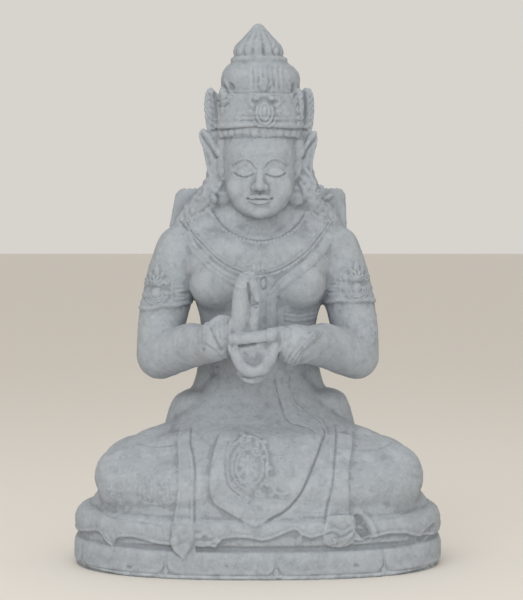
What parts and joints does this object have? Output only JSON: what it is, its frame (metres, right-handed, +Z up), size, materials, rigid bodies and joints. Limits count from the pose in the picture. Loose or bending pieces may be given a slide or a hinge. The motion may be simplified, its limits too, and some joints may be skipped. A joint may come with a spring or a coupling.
{
  "type": "dewi sri statue",
  "caption": "Carved stone statue of a crowned goddess seated cross-legged on an oval lotus plinth, hands held before the chest, for a garden, shrine or shelf.",
  "frame": {"origin": "centre of the underside of the plinth, on the floor", "axes": "+Z up along the figure, the figure faces -Y, +X towards the figure's left hand side"},
  "size_m": [0.5472, 0.3698, 0.8004],
  "materials": {
    "stone": "fine sandy matt, weathered"
  },
  "bodies": {
    "root": {"statue": "stone"}
  },
  "joints": []
}
